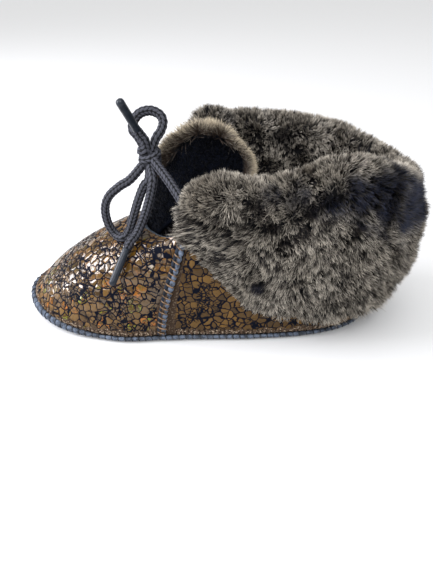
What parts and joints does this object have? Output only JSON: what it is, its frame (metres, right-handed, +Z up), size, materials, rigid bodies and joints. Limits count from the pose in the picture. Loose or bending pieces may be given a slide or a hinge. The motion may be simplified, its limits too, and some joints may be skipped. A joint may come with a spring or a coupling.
{
  "type": "sheepskin slipper",
  "caption": "Soft ankle slipper with a crackled foil leather upper, whip-stitched seams, a fold-down fur cuff, a fur-lined tongue and a tied lace.",
  "frame": {"origin": "on the floor, on the sole's flat resting face under the middle of the sole", "axes": "+X towards the toe, +Y to the wearer's left, +Z up"},
  "size_m": [0.2852, 0.1282, 0.1563],
  "materials": {
    "foil_leather": "crackled bronze foil over black leather",
    "sole_leather": "matt suede",
    "seam_edge": "cut edge with brown thread",
    "fur": "frosted sheepskin pile",
    "suede": "dark nap",
    "lace": "round braid",
    "aglet": "clear film over cord"
  },
  "bodies": {
    "root": {"sole": "sole_leather", "sole_seam": "seam_edge", "insole": "fur", "upper": "foil_leather", "tongue": "suede", "cuff": "fur", "lace_bar": "lace", "lace_knot": "lace", "lace_loop_lower": "lace", "lace_loop_upper": "lace", "lace_end_lower": "lace", "lace_end_upper": "lace", "aglet_lower": "aglet", "aglet_upper": "aglet"}
  },
  "joints": []
}
